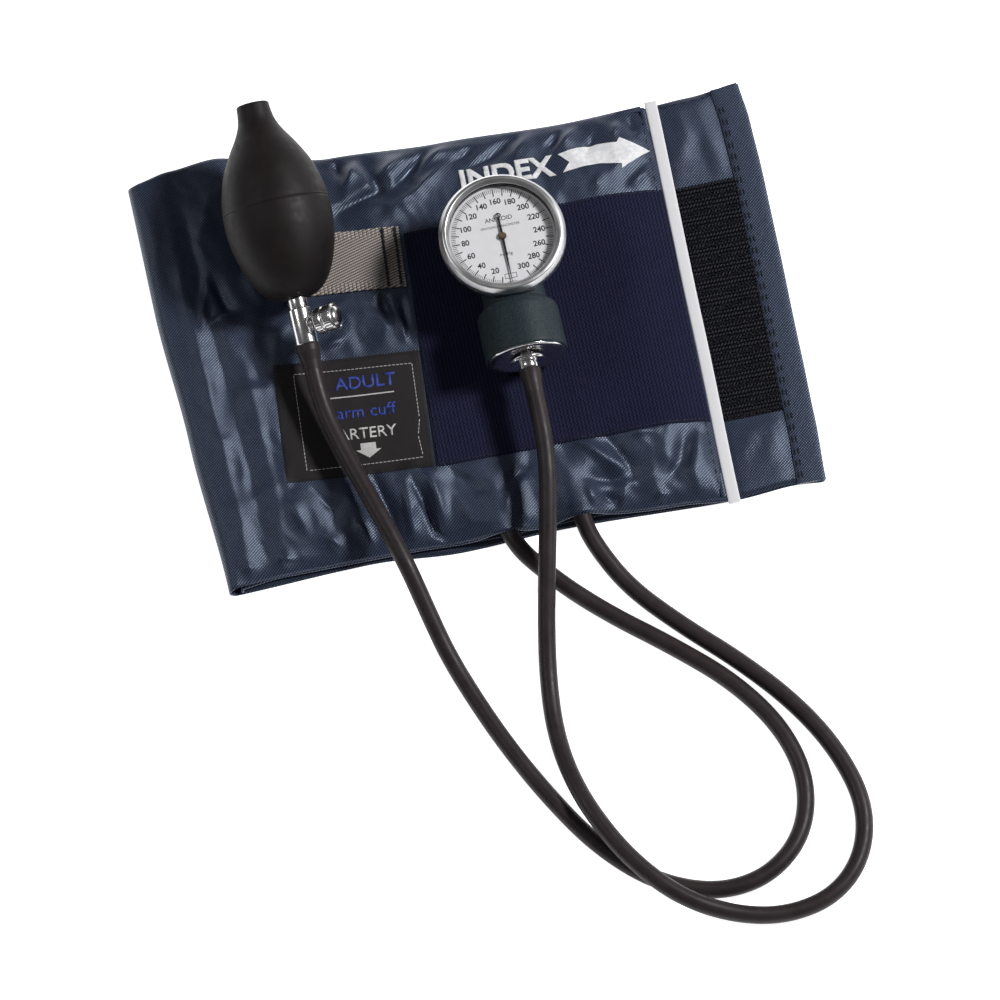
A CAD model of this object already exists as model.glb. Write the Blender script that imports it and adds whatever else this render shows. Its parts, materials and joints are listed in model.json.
import bmesh
import bpy
import json
import math
import random

from mathutils import Matrix, Vector, noise
from mathutils.bvhtree import BVHTree


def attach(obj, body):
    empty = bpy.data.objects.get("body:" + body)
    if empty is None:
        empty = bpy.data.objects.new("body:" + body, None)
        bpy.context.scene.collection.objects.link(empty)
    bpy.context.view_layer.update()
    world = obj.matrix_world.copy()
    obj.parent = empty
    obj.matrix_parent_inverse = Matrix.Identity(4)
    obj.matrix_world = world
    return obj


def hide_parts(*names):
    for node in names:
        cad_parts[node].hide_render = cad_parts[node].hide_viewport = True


# An aneroid blood pressure set: a folded nylon cuff, a rubber hand bulb with its release valve, a round
# gauge and two rubber tubes.  Metres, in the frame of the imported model: +X along the cuff, +Z up.

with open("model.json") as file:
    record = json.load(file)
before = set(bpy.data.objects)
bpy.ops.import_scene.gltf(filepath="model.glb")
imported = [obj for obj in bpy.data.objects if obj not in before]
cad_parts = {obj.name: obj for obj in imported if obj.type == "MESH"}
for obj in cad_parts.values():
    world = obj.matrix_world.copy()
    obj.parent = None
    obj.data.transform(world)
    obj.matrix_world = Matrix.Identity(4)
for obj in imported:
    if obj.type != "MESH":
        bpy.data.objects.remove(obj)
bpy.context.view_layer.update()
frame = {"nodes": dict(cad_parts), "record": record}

MM = 0.001


def mm(*values):
    """A point or a list of lengths given in millimetres."""
    return Vector([v * MM for v in values])


# ---------------------------------------------------------------- materials


class Shader:
    """A node tree with one Principled shader, and short ways to add texture nodes to it."""

    def __init__(self, name, color, roughness, **sockets):
        self.material = bpy.data.materials.new(name)
        self.material.use_nodes = True
        self.nodes = self.material.node_tree.nodes
        self.links = self.material.node_tree.links
        self.shader = self.nodes["Principled BSDF"]
        self.set("Base Color", (*color, 1))
        self.set("Roughness", roughness)
        for socket, value in sockets.items():
            self.set(socket.replace("_", " "), value)
        self.bumps = None

    def set(self, socket, value):
        self.shader.inputs[socket].default_value = value

    def add(self, kind, inputs=(), **settings):
        node = self.nodes.new(kind)
        for key, value in settings.items():
            setattr(node, key, value)
        for key, value in dict(inputs).items():
            if isinstance(value, bpy.types.NodeSocket):
                self.links.new(value, node.inputs[key])
            else:
                node.inputs[key].default_value = value
        return node

    def place(self, turn=0.0):
        """Object coordinates in millimetres, turned about Z."""
        where = self.add("ShaderNodeTexCoord").outputs["Object"]
        inputs = {"Vector": where, "Rotation": (0, 0, turn), "Scale": [1 / MM] * 3}
        return self.add("ShaderNodeMapping", inputs).outputs[0]

    def noise(self, size, detail=3.0, roughness=0.5):
        """Noise of about that size in millimetres, from 0 to 1."""
        inputs = {"Vector": self.place(), "Scale": 1 / size, "Detail": detail, "Roughness": roughness}
        return self.add("ShaderNodeTexNoise", inputs).outputs["Fac"]

    def wave(self, period, where=None, axis="X", distortion=0.0):
        """Stripes across one axis, that many millimetres apart, from 0 to 1."""
        scale = 2 * math.pi / (20 * period)
        inputs = {"Vector": where or self.place(), "Scale": scale, "Distortion": distortion, "Detail": 0.0}
        return self.add("ShaderNodeTexWave", inputs, bands_direction=axis).outputs["Fac"]

    def cells(self, size):
        """Rounded grains of about that size in millimetres, from 0 at their middles."""
        inputs = {"Vector": self.place(), "Scale": 1 / size}
        return self.add("ShaderNodeTexVoronoi", inputs).outputs["Distance"]

    def chevrons(self, column, rise, period):
        """Zigzag stripes along Y, that many millimetres apart, from 0 to 1."""
        where = self.add("ShaderNodeSeparateXYZ", {"Vector": self.place()}).outputs
        zigzag = self.math("MULTIPLY", self.math("PINGPONG", where["Y"], column / 2), rise)
        stripe = self.math("PINGPONG", self.math("ADD", where["X"], zigzag), period / 2)
        return self.math("MULTIPLY", stripe, 2 / period)

    def math(self, operation, a, b=0.0):
        """Sums on numbers or on other nodes' results."""
        node = self.add("ShaderNodeMath", operation=operation)
        for socket, value in zip(node.inputs, (a, b)):
            if isinstance(value, bpy.types.NodeSocket):
                self.links.new(value, socket)
            else:
                socket.default_value = value
        return node.outputs[0]

    def ramp(self, value, low, high, start=0.0, end=1.0):
        """Turns a value into a colour or a number between two."""
        node = self.add("ShaderNodeValToRGB", {"Fac": value})
        first, last = node.color_ramp.elements
        first.position, last.position = start, end
        first.color = (*low, 1) if hasattr(low, "__len__") else (low, low, low, 1)
        last.color = (*high, 1) if hasattr(high, "__len__") else (high, high, high, 1)
        return node.outputs["Color"]

    def blend(self, first, share, second):
        """That share of the first value, and the rest of it from the second."""
        return self.math("ADD", self.math("MULTIPLY", first, share), self.math("MULTIPLY", second, 1 - share))

    def mix(self, share, a, b):
        """A colour between two, by a share from 0 to 1."""
        node = self.add("ShaderNodeMix", data_type="RGBA")
        for key, value in ((0, share), (6, a), (7, b)):
            if isinstance(value, bpy.types.NodeSocket):
                self.links.new(value, node.inputs[key])
            elif key:
                node.inputs[key].default_value = (*value, 1)
            else:
                node.inputs[key].default_value = value
        return node.outputs[2]

    def feed(self, socket, value):
        self.links.new(value, self.shader.inputs[socket])

    def bump(self, height, depth, strength=1.0):
        """Adds relief of that depth in millimetres on top of the relief there is."""
        inputs = {"Height": height, "Distance": depth * MM, "Strength": strength}
        if self.bumps:
            inputs["Normal"] = self.bumps
        self.bumps = self.add("ShaderNodeBump", inputs).outputs["Normal"]
        self.feed("Normal", self.bumps)
        return self


def tone(color, factor):
    """The colour made that many times brighter."""
    return [min(1.0, c * factor) for c in color]


def nylon():
    """Navy nylon twill: fine diagonal ribs, satin gloss and a little unevenness in the dye."""
    m = Shader("nylon_twill", (0.03, 0.042, 0.08), 0.42, Sheen_Weight=0.06, Sheen_Roughness=0.3,
               Sheen_Tint=(0.55, 0.68, 1.0, 1), Specular_IOR_Level=0.75, Specular_Tint=(0.68, 0.8, 1.0, 1))
    twill = m.wave(0.85, m.place(turn=math.radians(50)), distortion=0.5)
    across = m.wave(0.8, m.place(turn=math.radians(-35)), distortion=0.5)
    dots = m.math("MULTIPLY", twill, m.math("ADD", m.math("MULTIPLY", across, 0.7), 0.3))
    rib = m.math("ADD", m.math("MULTIPLY", dots, 0.75), m.math("MULTIPLY", m.noise(0.7, 2), 0.35))
    dyed = m.ramp(rib, (0.003, 0.0052, 0.014), (0.072, 0.092, 0.162), 0.16, 0.9)
    m.feed("Base Color", m.mix(m.math("MULTIPLY", m.noise(16, 4), 0.4), dyed, (0.012, 0.018, 0.036)))
    m.feed("Roughness", m.ramp(rib, 0.46, 0.33, 0.2, 0.8))
    m.feed("Specular IOR Level", m.ramp(rib, 0.4, 1.2, 0.15, 0.8))
    m.bump(dots, 0.1, 0.7).bump(m.noise(5, 3), 0.5, 0.25)
    return m.material


def rubber(name, color, roughness, speck):
    """Dull rubber with a fine speckle of that size in millimetres."""
    m = Shader(name, color, roughness, Specular_IOR_Level=0.22)
    dust = m.noise(9, 5)
    m.feed("Base Color", m.ramp(dust, tone(color, 0.8), tone(color, 1.25), 0.3, 0.75))
    m.feed("Roughness", m.ramp(m.noise(3, 4), roughness - 0.06, roughness + 0.08, 0.3, 0.7))
    m.bump(m.noise(speck, 3), 0.05, 0.35).bump(m.noise(4, 2), 0.12, 0.15)
    return m.material


def metal(name, color, roughness, grain=0.0):
    """Plated or bare metal with slightly uneven polish."""
    m = Shader(name, color, roughness, Metallic=1.0)
    m.feed("Roughness", m.ramp(m.noise(9, 1), roughness * 0.85, roughness * 1.2, 0.35, 0.7))
    m.bump(m.noise(0.35, 2), 0.01, 0.02 + grain)
    return m.material


def enamel():
    """Green hammered enamel: fine grainy flecks and a dull gloss."""
    m = Shader("hammered_enamel", (0.02, 0.045, 0.05), 0.5, Specular_IOR_Level=0.3)
    fleck = m.noise(0.42, 4, roughness=0.75)
    grain = m.cells(0.6)
    flecked = m.ramp(fleck, 0.0, 1.0, 0.4, 0.68)
    m.feed("Base Color", m.mix(flecked, (0.003, 0.0085, 0.0125), (0.034, 0.056, 0.07)))
    m.feed("Roughness", m.ramp(m.noise(1.2, 3), 0.46, 0.62, 0.3, 0.7))
    m.bump(grain, 0.16, 0.35).bump(fleck, 0.14, 0.5)
    return m.material


def loop_pile():
    """Loop tape: fuzzy pile over zigzag columns along Y, worn paler in places."""
    m = Shader("loop_pile", (0.01, 0.014, 0.05), 0.85, Sheen_Weight=0.15, Sheen_Roughness=0.5,
               Sheen_Tint=(0.25, 0.3, 0.7, 1), Specular_IOR_Level=0.12)
    loops = m.chevrons(1.9, 0.7, 1.45)
    fuzz = m.noise(0.6, 4, roughness=0.7)
    pile = m.ramp(m.blend(loops, 0.38, fuzz), (0.001, 0.001, 0.003), (0.034, 0.036, 0.095), 0.28, 0.8)
    m.feed("Base Color", m.mix(m.math("MULTIPLY", m.noise(18, 3), 0.5), pile, (0.0065, 0.007, 0.023)))
    m.bump(loops, 0.25, 0.6).bump(fuzz, 0.45, 0.9)
    return m.material


def hook_nylon():
    """Hook tape: a nearly black woven ground."""
    m = Shader("hook_nylon", (0.004, 0.006, 0.013), 0.5, Specular_IOR_Level=0.16)
    weave = m.chevrons(1.9, 0.8, 1.3)
    m.feed("Base Color", m.ramp(m.noise(1.1, 3), (0.0005, 0.0006, 0.002), (0.005, 0.0056, 0.015), 0.35, 0.75))
    m.bump(weave, 0.25, 0.7).bump(m.noise(0.6, 3), 0.2, 0.6)
    return m.material


WEBBING_SLANT = math.radians(75)
WEBBING_CORD = 1.05


def webbing():
    """Warm grey webbing with slanting cords."""
    m = Shader("webbing_cotton", (0.25, 0.225, 0.21), 0.75, Sheen_Weight=0.1, Specular_IOR_Level=0.25)
    cord = m.wave(WEBBING_CORD, m.place(turn=WEBBING_SLANT))
    threads = m.wave(0.75, m.place(turn=WEBBING_SLANT - math.radians(75)))
    woven = m.math("MULTIPLY", cord, m.math("ADD", m.math("MULTIPLY", threads, 0.45), 0.55))
    shade = m.ramp(m.blend(woven, 0.75, m.noise(0.6, 3)), (0.05, 0.042, 0.038), (0.7, 0.61, 0.58), 0.1, 0.75)
    m.feed("Base Color", m.mix(m.math("MULTIPLY", m.noise(7, 3), 0.3), shade, (0.28, 0.25, 0.235)))
    m.bump(woven, 0.3, 0.8).bump(m.noise(0.4, 3), 0.1, 0.5)
    return m.material


def plain_cloth(name, color, weave, roughness, contrast=1.3):
    """A plain weave whose threads are that many millimetres apart."""
    m = Shader(name, color, roughness, Specular_IOR_Level=0.35)
    across = m.wave(weave)
    along = m.wave(weave, axis="Y")
    both = m.math("MULTIPLY", across, along)
    uneven = m.blend(both, 0.5, m.noise(3, 3))
    m.feed("Base Color", m.ramp(uneven, tone(color, 1 / contrast), tone(color, contrast), 0.2, 0.8))
    m.bump(both, 0.08, 0.5)
    return m.material


def ink(name, color, roughness=0.6):
    """Print, paint or thread: one colour, a little uneven."""
    m = Shader(name, color, roughness)
    m.feed("Base Color", m.ramp(m.noise(1.5, 3), tone(color, 0.85), tone(color, 1.08), 0.3, 0.7))
    m.bump(m.noise(0.6, 2), 0.02, 0.3)
    return m.material


def glass():
    m = Shader("lens_glass", (0.2, 0.21, 0.21), 0.03, Alpha=0.04, IOR=1.5)
    m.bump(m.noise(6, 1), 0.01, 0.05)
    return m.material


MATERIALS = {
    "nylon": nylon(),
    "bulb_rubber": rubber("bulb_rubber", (0.0125, 0.0092, 0.0098), 0.52, 0.35),
    "tube_rubber": rubber("tube_rubber", (0.032, 0.0245, 0.0258), 0.42, 0.6),
    "bladder_rubber": rubber("bladder_rubber", (0.03, 0.028, 0.027), 0.6, 0.6),
    "chrome": metal("chrome", (0.84, 0.83, 0.83), 0.21),
    "bezel_chrome": metal("bezel_chrome", (0.86, 0.86, 0.87), 0.34),
    "brass": metal("brass", (0.62, 0.42, 0.2), 0.28, 0.2),
    "steel": metal("steel", (0.5, 0.5, 0.51), 0.3, 0.2),
    "bronze": metal("bronze", (0.55, 0.36, 0.2), 0.35, 0.2),
    "enamel": enamel(),
    "loop": loop_pile(),
    "hook": hook_nylon(),
    "webbing": webbing(),
    "label": plain_cloth("label_satin", (0.0115, 0.0078, 0.0088), 0.4, 0.55),
    "index": plain_cloth("index_tape", (0.86, 0.855, 0.88), 0.3, 0.45, 1.03),
    "hem": plain_cloth("hem_tape", (0.011, 0.019, 0.037), 0.4, 0.5),
    "lining": plain_cloth("lining_nylon", (0.02, 0.034, 0.062), 0.35, 0.5),
    "dark_thread": ink("dark_thread", (0.008, 0.011, 0.02)),
    "white_thread": ink("white_thread", (0.62, 0.61, 0.6)),
    "blue_thread": ink("blue_thread", (0.03, 0.06, 0.36)),
    "print_white": ink("print_white", (0.86, 0.86, 0.88), 0.5),
    "dial": plain_cloth("dial_white", (0.93, 0.92, 0.95), 6.0, 0.5, 1.015),
    "dial_black": ink("dial_black", (0.012, 0.012, 0.014), 0.5),
    "dial_grey": ink("dial_grey", (0.07, 0.07, 0.075), 0.5),
    "black_enamel": ink("pointer_black", (0.008, 0.008, 0.008), 0.35),
    "glass": glass(),
}

# The finish of each of the record's slots that isn't called what its finish is.
SLOT_FINISH = {
    "cuff_cloth": "nylon",
    "index_tape": "index",
    "cuff_lining": "lining",
    "hem_tape": "hem",
    "loop_tape": "loop",
    "hook_tape": "hook",
    "label_cloth": "label",
    "black_rubber": "bulb_rubber",
    "valve_chrome": "chrome",
    "case_enamel": "enamel",
    "dial_paint": "dial",
    "pointer_paint": "black_enamel",
    "seal_rubber": "tube_rubber",
    "lens_glass": "glass",
    "bellows_bronze": "bronze",
    "inlet_plastic": "bulb_rubber",
}


def dress_nodes():
    """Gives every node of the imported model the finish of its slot."""
    slots = {row["node"]: row["material_slot"] for row in frame["record"]["subparts"]}
    for name, node in frame["nodes"].items():
        node.data.materials.clear()
        node.data.materials.append(MATERIALS[SLOT_FINISH.get(slots[name], slots[name])])


# ---------------------------------------------------------------- making pieces


def piece(name, mesh_or_curve, finish, body="root", replaces=()):
    """Puts a finished mesh or curve into the scene as a piece of the object."""
    item = bpy.data.objects.new(name, mesh_or_curve)
    bpy.context.scene.collection.objects.link(item)
    item.data.materials.clear()
    item.data.materials.append(MATERIALS[finish])
    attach(item, body)
    if replaces:
        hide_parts(*replaces)
    return item


def mesh_of(name, points, faces, smooth=True):
    mesh = bpy.data.meshes.new(name)
    mesh.from_pydata(points, [], faces)
    mesh.polygons.foreach_set("use_smooth", [smooth] * len(mesh.polygons))
    mesh.update()
    return mesh


def settled(data, *modifiers):
    """The mesh that this data and (kind, settings) modifiers give."""
    carrier = bpy.data.objects.new("carrier", data)
    bpy.context.scene.collection.objects.link(carrier)
    for kind, settings in modifiers:
        modifier = carrier.modifiers.new(kind.lower(), kind)
        for key, value in settings.items():
            setattr(modifier, key, value)
    bpy.context.view_layer.update()
    mesh = bpy.data.meshes.new_from_object(carrier.evaluated_get(bpy.context.evaluated_depsgraph_get()))
    bpy.data.objects.remove(carrier)
    return mesh


def rounded_profile(corners, steps=5):
    """A (radius, height) outline in which each corner given a third number is an arc of that radius."""
    outline = []
    count = len(corners)
    for i, corner in enumerate(corners):
        here = Vector(corner[:2])
        if len(corner) < 3:
            outline.append(here)
            continue
        before = Vector(corners[i - 1][:2]) - here
        after = Vector(corners[(i + 1) % count][:2]) - here
        half = before.angle(after) / 2
        reach = min(corner[2] / math.tan(half), before.length * 0.49, after.length * 0.49)
        radius = reach * math.tan(half)
        middle = here + (before.normalized() + after.normalized()).normalized() * (radius / math.sin(half))
        start = here + before.normalized() * reach - middle
        turn = math.pi - 2 * half
        if start.cross(here + after.normalized() * reach - middle) < 0:
            turn = -turn
        for step in range(steps + 1):
            outline.append(middle + Matrix.Rotation(turn * step / steps, 2) @ start)
    return outline


def smooth_profile(points, steps=6):
    """A smooth curve through the points."""
    curve = []
    for i in range(len(points) - 1):
        before = Vector(points[max(i - 1, 0)])
        start = Vector(points[i])
        end = Vector(points[i + 1])
        after = Vector(points[min(i + 2, len(points) - 1)])
        for step in range(steps):
            t = step / steps
            bend = 2 * before - 5 * start + 4 * end - after
            twist = 3 * start - before - 3 * end + after
            curve.append(0.5 * (2 * start + (end - before) * t + bend * t**2 + twist * t**3))
    curve.append(Vector(points[-1]))
    return curve


def lathe(name, outline, place, segments=96, closed=False, ripple=None):
    """Turns an outline of (radius, height) in mm about the place's Z axis.

    An open outline starts and ends on the axis; a closed one is a ring.  ripple(angle, radius, height)
    may change the radius.
    """
    points, faces = [], []
    rows = []
    for radius, height in outline:
        if radius < 1e-4:
            rows.append([len(points)])
            points.append(place @ mm(0, 0, height))
            continue
        row = []
        for step in range(segments):
            angle = 2 * math.pi * step / segments
            wide = ripple(angle, radius, height) if ripple else radius
            row.append(len(points))
            points.append(place @ mm(wide * math.cos(angle), wide * math.sin(angle), height))
        rows.append(row)
    pairs = list(zip(rows, rows[1:]))
    if closed:
        pairs.append((rows[-1], rows[0]))
    for low, high in pairs:
        for step in range(segments):
            after = (step + 1) % segments
            around = ((low, step), (low, after), (high, after), (high, step))
            corners = list(dict.fromkeys(row[at % len(row)] for row, at in around))
            if len(corners) > 2:
                faces.append(corners)
    return upright(mesh_of(name, points, faces))


def turned(name, outline, place, segments, finish, slot, node=None, body="root", **shape):
    """A lathe-turned piece, which stands for a node if one is named."""
    mesh = lathe(name, outline, place, segments, **shape)
    return piece(name, mesh, finish, body, [node] if node else ())


# ---------------------------------------------------------------- camera, light and floor

LOOK_AT = mm(-6.9, -75.7, 5)
LOOK_TURN = math.radians(11.8)
LOOK_DOWN = math.radians(70)
CAMERA_AWAY = 12.0
PICTURE_WIDTH = 0.39


def build_camera():
    """A long lens from far away, as the photograph was taken."""
    camera = bpy.data.cameras.new("camera")
    camera.sensor_width = 36
    camera.lens = camera.sensor_width * CAMERA_AWAY / PICTURE_WIDTH
    camera.clip_start, camera.clip_end = 0.05, 40
    holder = bpy.data.objects.new("camera", camera)
    bpy.context.scene.collection.objects.link(holder)
    forward = Vector((math.sin(LOOK_TURN) * math.cos(LOOK_DOWN), math.cos(LOOK_TURN) * math.cos(LOOK_DOWN),
                      -math.sin(LOOK_DOWN)))
    holder.location = LOOK_AT - forward * CAMERA_AWAY
    holder.rotation_mode = "QUATERNION"
    holder.rotation_quaternion = forward.to_track_quat("-Z", "Y")
    bpy.context.scene.camera = holder


def area_light(name, place, size, power):
    """A square soft light that faces the cuff."""
    data = bpy.data.lights.new(name, "AREA")
    data.size = size
    data.energy = power
    holder = bpy.data.objects.new(name, data)
    bpy.context.scene.collection.objects.link(holder)
    holder.location = place
    holder.rotation_mode = "QUATERNION"
    holder.rotation_quaternion = (LOOK_AT - holder.location).to_track_quat("-Z", "Y")


def build_stage():
    """A pale floor, a white world and two soft lights."""
    side = 6.0
    corners = [Vector((x * side, y * side, 0)) for x, y in ((-1, -1), (1, -1), (1, 1), (-1, 1))]
    mesh = mesh_of("floor", corners, [(0, 1, 2, 3)], smooth=False)
    pale = Shader("floor_paper", (0.86, 0.86, 0.87), 0.9, Specular_IOR_Level=0.1,
                  Emission_Color=(1, 1, 1, 1), Emission_Strength=0.95)
    mesh.materials.append(pale.material)
    floor = bpy.data.objects.new("floor", mesh)
    bpy.context.scene.collection.objects.link(floor)
    world = bpy.data.worlds.new("studio")
    world.use_nodes = True
    world.node_tree.nodes["Background"].inputs["Color"].default_value = (1, 1, 1, 1)
    world.node_tree.nodes["Background"].inputs["Strength"].default_value = 0.075
    bpy.context.scene.world = world
    area_light("key", Vector((1.8, 0.15, 2.0)), 0.42, 62)
    area_light("second", Vector((-1.7, 0.5, 2.0)), 0.5, 8.5)
    bpy.context.scene.view_settings.view_transform = "Standard"


# ---------------------------------------------------------------- tubes

TUBE_DIAMETER = 0.007
BULB_TUBE_ROUTE = [
    (-68.49, -14.15, 22.65),
    (-68.15, -28.3, 19.9),
    (-64.0, -46.0, 19.2),
    (-59.0, -64.0, 19.4),
    (-53.5, -83.0, 20.2),
    (-48.5, -101.0, 18.6),
    (-44.5, -117.0, 12.0),
    (-40.0, -134.0, 5.4),
    (-33.5, -153.0, 3.6),
    (-25.0, -175.0, 3.6),
    (-13.5, -199.0, 3.6),
    (1.0, -223.0, 3.6),
    (20.0, -242.0, 3.6),
    (43.0, -251.5, 3.6),
    (64.5, -248.5, 3.6),
    (80.5, -234.5, 3.6),
    (86.5, -213.0, 3.6),
    (81.5, -190.0, 3.6),
    (67.0, -167.5, 3.6),
    (46.5, -148.0, 3.6),
    (25.0, -130.0, 3.7),
    (7.5, -112.5, 4.9),
    (-8.0, -92.0, 6.95),
    (-8.0, -76.0, 6.95),
]
GAUGE_TUBE_ROUTE = [
    (13.8, -43.4, 28.5),
    (13.8, -58.5, 28.5),
    (12.3, -75.0, 26.6),
    (8.5, -93.5, 22.0),
    (4.2, -112.0, 16.6),
    (0.0, -131.0, 9.8),
    (-3.5, -151.0, 4.8),
    (-5.4, -172.0, 4.4),
    (-4.0, -193.0, 8.6),
    (1.5, -213.5, 12.4),
    (12.0, -234.5, 12.6),
    (28.0, -253.0, 11.0),
    (48.0, -262.5, 5.6),
    (68.0, -266.0, 3.6),
    (88.0, -261.5, 3.6),
    (101.5, -247.5, 3.6),
    (106.5, -227.0, 3.6),
    (100.5, -203.0, 3.6),
    (88.5, -181.0, 3.6),
    (71.5, -160.0, 3.6),
    (52.0, -140.5, 3.6),
    (35.5, -121.5, 3.8),
    (26.5, -104.5, 6.2),
    (22.5, -91.0, 6.95),
    (22.5, -76.0, 6.95),
]


def build_tube(name, node, route):
    """A limp rubber tube: one smooth spline whose control points are the route."""
    curve = bpy.data.curves.new(name, "CURVE")
    curve.dimensions = "3D"
    curve.bevel_depth = TUBE_DIAMETER / 2
    curve.bevel_resolution = 8
    curve.resolution_u = 16
    curve.use_fill_caps = True
    spline = curve.splines.new("NURBS")
    spline.points.add(len(route) - 1)
    for knot, corner in zip(spline.points, route):
        knot.co = (*mm(*corner), 1)
    spline.order_u = 3
    spline.use_endpoint_u = True
    tube = piece(name, curve, "tube_rubber", replaces=[node])


# ---------------------------------------------------------------- cuff: outlines in millimetres

# Heights of the top layer's crown and right edge and of the low layer, and thicknesses of cloth and tapes.
CROWN = 11.2
PLY = 0.7
TAPE = 0.9
HOOK_TAPE = 0.7
LOW_LAYER_TOP = 1.4
RIGHT_EDGE_HEIGHT = 4.9
# Edges of the two layers seen from above: (x, y) along the front and back, (y, x) along the left and right.
TOP_FRONT = [(-122, -91.5), (-95, -89), (-50, -89), (-10, -90.5), (25, -89.5), (60, -91.5), (86, -93.8)]
TOP_BACK = [(-123, 80.5), (-106, 83.8), (-88, 85.6), (-70, 82), (-43, 77.4), (0, 75), (50, 73), (86, 74)]
LOW_FRONT = [(-122, -92), (-60, -90), (-25, -92.5), (15, -91), (85, -93), (108, -91.5), (122, -92.8)]
LOW_BACK = [(-123, 80), (-90, 84.5), (-43, 76.6), (0, 74.2), (60, 72.5), (100, 75), (122, 77.5)]
LEFT = [(-94, -118), (-30, -121), (24, -123.4), (80, -123.2)]
TOP_RIGHT = [(-95, 80.2), (-20, 81.2), (76, 82.3)]
LOW_RIGHT = [(-94, 119.5), (-65, 120.6), (-38, 121), (10, 121.6), (40, 121.8), (60, 121.4), (77, 120)]
FRONT = -92.0
DEPTH = 168.0
# Where the tubes leave the front edge (x), and where the bladder's ports end under the cloth (y).
TUBES_LEAVE_AT = (-8.0, 22.5)
PORTS_AT = -73.0
# How far in from an edge the top layer reaches its full height.
SOFT_EDGE = 28.0
SOFT_RIGHT_EDGE = 24.0
# How much higher the folds are made than CREASES says, and how far the simulation may move the cloth.
CREASE_FACTOR = 1.8
BUCKLE_LIMIT = 2.2
# Areas that tape or webbing holds flat: left, right, front, back.
HELD_FLAT = [(-27, 84, -60, 38), (-82, -24, 16, 42), (-86, -27, -57, -7)]


def along(line, at):
    """The smooth height of a broken line of (place, height) at one place."""
    if at <= line[0][0]:
        return line[0][1]
    for (start, low), (end, high) in zip(line, line[1:]):
        if at <= end:
            share = (at - start) / (end - start)
            return low + (high - low) * share * share * (3 - 2 * share)
    return line[-1][1]


def rise(distance, width):
    """A rounded shoulder: 0 at the edge, 1 from that width inwards."""
    return math.sin(min(max(distance / width, 0.0), 1.0) * math.pi / 2) ** 0.85


def tube_swell(x):
    """How far the front edge is lifted over the two tubes, from 0 to 1."""
    return max(math.exp(-(((x - tube) / 9.5) ** 2)) for tube in TUBES_LEAVE_AT)


def port_swell(x, y, height):
    """The low mounds over the bladder's two ports."""
    return height * tube_swell(x) * math.exp(-(((y - PORTS_AT) / 12) ** 2))


def room_inside(x, y):
    """How far a point lies inside the top layer's front, back and right edges."""
    return min(y - along(TOP_FRONT, x), along(TOP_BACK, x) - y, along(TOP_RIGHT, y) - x)


def front_edge_height(x):
    return 4.3 + 7.0 * tube_swell(x)


def back_edge_height(x):
    return 4.5 + 3.2 * math.exp(-(((x + 100) / 30) ** 2))


def top_height(x, y):
    """The outer face of the top layer without its wrinkles."""
    drops = [
        (CROWN - front_edge_height(x)) * (1 - rise(y - along(TOP_FRONT, x), SOFT_EDGE)),
        (CROWN - back_edge_height(x)) * (1 - rise(along(TOP_BACK, x) - y, SOFT_EDGE)),
        (CROWN - RIGHT_EDGE_HEIGHT) * (1 - rise(along(TOP_RIGHT, y) - x, SOFT_RIGHT_EDGE)),
    ]
    sway = 0.25 * math.sin(x / 7.5 + y / 60) + 0.2 * math.sin(y / 16 - x / 40)
    level = CROWN - math.sqrt(sum(d * d for d in drops)) - 0.25
    return level + sway * min(1.0, (CROWN - max(drops)) / CROWN) + port_swell(x, y, 1.9)


def fold_height(y):
    """The thickness of the round fold at the left."""
    return 6.8 + 4.0 * rise(y - FRONT, 40) * rise(84 - y, 40)


CUFF_ROWS = 80
LOW_STEPS = 70
FOLD_STEPS = 8
TOP_STEPS = 94


def cuff_row(share):
    """Points of the outer ply at one share of the width: along the table, round the fold and back."""
    middle = FRONT + DEPTH * share
    left, right = along(LEFT, middle), along(LOW_RIGHT, middle)
    radius = fold_height(middle) / 2
    points = []
    for step in range(LOW_STEPS):
        x = right + (left + radius - right) * step / LOW_STEPS
        front, back = along(LOW_FRONT, x), along(LOW_BACK, x)
        points.append(Vector((x, front + (back - front) * share, 0.0)))
    start_x = left + radius
    front = along(LOW_FRONT, left), along(TOP_FRONT, left)
    back = along(LOW_BACK, left), along(TOP_BACK, left)
    for step in range(FOLD_STEPS):
        turn = math.pi * step / FOLD_STEPS
        up = step / FOLD_STEPS
        near, far = (low + (high - low) * up for low, high in (front, back))
        points.append(Vector((start_x - radius * math.sin(turn), near + (far - near) * share,
                              radius - radius * math.cos(turn))))
    for step in range(TOP_STEPS + 1):
        x = start_x + (along(TOP_RIGHT, middle) - start_x) * step / TOP_STEPS
        front, back = along(TOP_FRONT, x), along(TOP_BACK, x)
        y = front + (back - front) * share
        near_fold = max(0.0, 1 - (x - start_x) / 18)
        height = top_height(x, y) * (1 - near_fold**2) + 2 * radius * near_fold**2
        points.append(Vector((x, y, height)))
    return points


def held(x, y, step):
    """How firmly the outer ply is held at a point, the given step along its row: from 0, slack, to 1."""
    if step < LOW_STEPS + FOLD_STEPS:
        return 1.0
    if room_inside(x, y) < 2.2:
        return 1.0
    if any(left < x < right and front < y < back for left, right, front, back in HELD_FLAT):
        return 1.0
    return 0.35 if x < -108 else 0.0


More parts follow.
